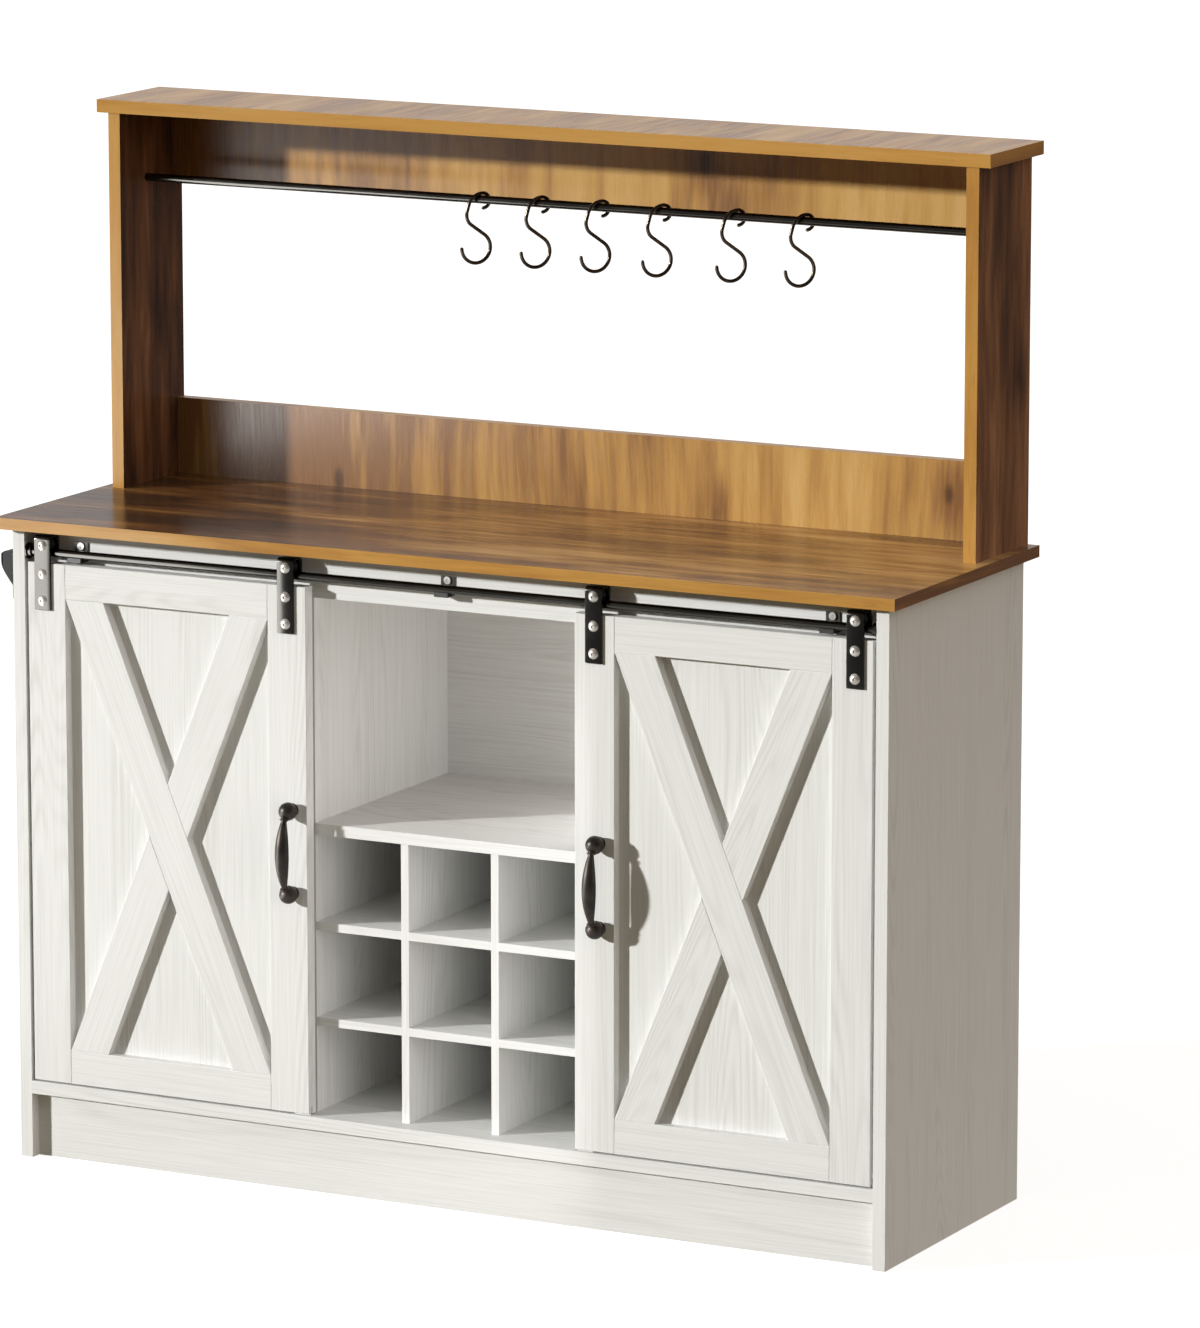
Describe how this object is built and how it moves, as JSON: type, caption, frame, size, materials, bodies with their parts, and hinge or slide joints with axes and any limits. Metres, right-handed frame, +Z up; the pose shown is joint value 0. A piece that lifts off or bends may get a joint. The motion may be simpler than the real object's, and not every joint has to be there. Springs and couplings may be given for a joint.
{
  "type": "bar cabinet",
  "caption": "Bar cabinet with two hanging X-braced sliding doors, a niche over a bottle rack, a hutch shelf with a rod and S-hooks, and a bottle opener on its side.",
  "frame": {"origin": "on the floor, under the middle of the worktop", "axes": "+X to the right seen from the front, +Y to the back, +Z up"},
  "size_m": [1.2018, 0.4164, 1.27],
  "materials": {
    "white_laminate": "white wood-grain laminate, satin",
    "oak_laminate": "rustic golden oak laminate, satin",
    "black_steel": "black powder coat",
    "dark_bronze": "oil-rubbed dark bronze",
    "plated_steel": "zinc plated",
    "black_nylon": "moulded nylon",
    "white_nylon": "moulded nylon",
    "black_cast": "glossy black enamel"
  },
  "bodies": {
    "cabinet": {"side_panel_left": "white_laminate", "side_panel_right": "white_laminate", "bottom_panel": "white_laminate", "toe_kick": "white_laminate", "centre_support": "white_laminate", "divider_left": "white_laminate", "divider_right": "white_laminate", "back_panel_left": "white_laminate", "back_panel_centre": "white_laminate", "back_panel_right": "white_laminate", "track_board": "white_laminate", "niche_shelf": "white_laminate", "rack_shelf_lower": "white_laminate", "rack_shelf_upper": "white_laminate", "rack_divider_left": "white_laminate", "rack_divider_right": "white_laminate", "cupboard_shelf_left": "white_laminate", "cupboard_shelf_right": "white_laminate", "worktop": "oak_laminate", "hutch_side_left": "oak_laminate", "hutch_side_right": "oak_laminate", "hutch_back_upper": "oak_laminate", "hutch_back_lower": "oak_laminate", "hutch_top": "oak_laminate", "hanging_rod": "black_steel", "track_bar": "black_steel", "track_end_cups": "black_steel", "track_brackets": "black_steel", "pan_head_screws": "plated_steel", "shelf_pins": "plated_steel", "door_guides": "white_nylon", "bottle_opener": "black_cast"},
    "left_door": {"left_door_skin": "white_laminate", "left_door_stiles": "white_laminate", "left_door_rails": "white_laminate", "left_door_long_brace": "white_laminate", "left_door_short_braces": "white_laminate", "left_door_pull": "dark_bronze", "left_door_hangers": "black_steel", "left_door_fasteners": "plated_steel"},
    "left_outer_wheel": {"left_outer_wheel": "black_nylon"},
    "left_inner_wheel": {"left_inner_wheel": "black_nylon"},
    "right_door": {"right_door_skin": "white_laminate", "right_door_stiles": "white_laminate", "right_door_rails": "white_laminate", "right_door_long_brace": "white_laminate", "right_door_short_braces": "white_laminate", "right_door_pull": "dark_bronze", "right_door_hangers": "black_steel", "right_door_fasteners": "plated_steel"},
    "right_outer_wheel": {"right_outer_wheel": "black_nylon"},
    "right_inner_wheel": {"right_inner_wheel": "black_nylon"},
    "s_hook_1": {"s_hook_1": "black_steel"},
    "s_hook_2": {"s_hook_2": "black_steel"},
    "s_hook_3": {"s_hook_3": "black_steel"},
    "s_hook_4": {"s_hook_4": "black_steel"},
    "s_hook_5": {"s_hook_5": "black_steel"},
    "s_hook_6": {"s_hook_6": "black_steel"}
  },
  "joints": [
    {"name": "left_door_slide", "type": "slide", "parent": "cabinet", "child": "left_door", "axis": [1, 0, 0], "range_m": [0, 0.3558]},
    {"name": "right_door_slide", "type": "slide", "parent": "cabinet", "child": "right_door", "axis": [1, 0, 0], "range_m": [-0.3558, 0]},
    {"name": "left_outer_wheel_spin", "type": "hinge", "parent": "left_door", "child": "left_outer_wheel", "pos_m": [-0.5399, -0.17278, 0.7598], "axis": [0, 1, 0], "continuous": true},
    {"name": "left_inner_wheel_spin", "type": "hinge", "parent": "left_door", "child": "left_inner_wheel", "pos_m": [-0.2049, -0.17278, 0.7598], "axis": [0, 1, 0], "continuous": true},
    {"name": "right_outer_wheel_spin", "type": "hinge", "parent": "right_door", "child": "right_outer_wheel", "pos_m": [0.5399, -0.17278, 0.7598], "axis": [0, 1, 0], "continuous": true},
    {"name": "right_inner_wheel_spin", "type": "hinge", "parent": "right_door", "child": "right_inner_wheel", "pos_m": [0.2049, -0.17278, 0.7598], "axis": [0, 1, 0], "continuous": true},
    {"name": "s_hook_1_swing", "type": "hinge", "parent": "cabinet", "child": "s_hook_1", "pos_m": [-0.101, 0.11503, 1.1693], "axis": [1, 0, 0], "range_deg": [-60, 60]},
    {"name": "s_hook_2_swing", "type": "hinge", "parent": "cabinet", "child": "s_hook_2", "pos_m": [-0.0205, 0.11503, 1.1693], "axis": [1, 0, 0], "range_deg": [-60, 60]},
    {"name": "s_hook_3_swing", "type": "hinge", "parent": "cabinet", "child": "s_hook_3", "pos_m": [0.06, 0.11503, 1.1693], "axis": [1, 0, 0], "range_deg": [-60, 60]},
    {"name": "s_hook_4_swing", "type": "hinge", "parent": "cabinet", "child": "s_hook_4", "pos_m": [0.142, 0.11503, 1.1693], "axis": [1, 0, 0], "range_deg": [-60, 60]},
    {"name": "s_hook_5_swing", "type": "hinge", "parent": "cabinet", "child": "s_hook_5", "pos_m": [0.24, 0.11503, 1.1693], "axis": [1, 0, 0], "range_deg": [-60, 60]},
    {"name": "s_hook_6_swing", "type": "hinge", "parent": "cabinet", "child": "s_hook_6", "pos_m": [0.33, 0.11503, 1.1693], "axis": [1, 0, 0], "range_deg": [-60, 60]}
  ],
  "couplings": [
    {"joint": "left_outer_wheel_spin", "follows": "left_door_slide", "rad_per_m": 222.22},
    {"joint": "left_inner_wheel_spin", "follows": "left_door_slide", "rad_per_m": 222.22},
    {"joint": "right_outer_wheel_spin", "follows": "right_door_slide", "rad_per_m": 222.22},
    {"joint": "right_inner_wheel_spin", "follows": "right_door_slide", "rad_per_m": 222.22}
  ]
}
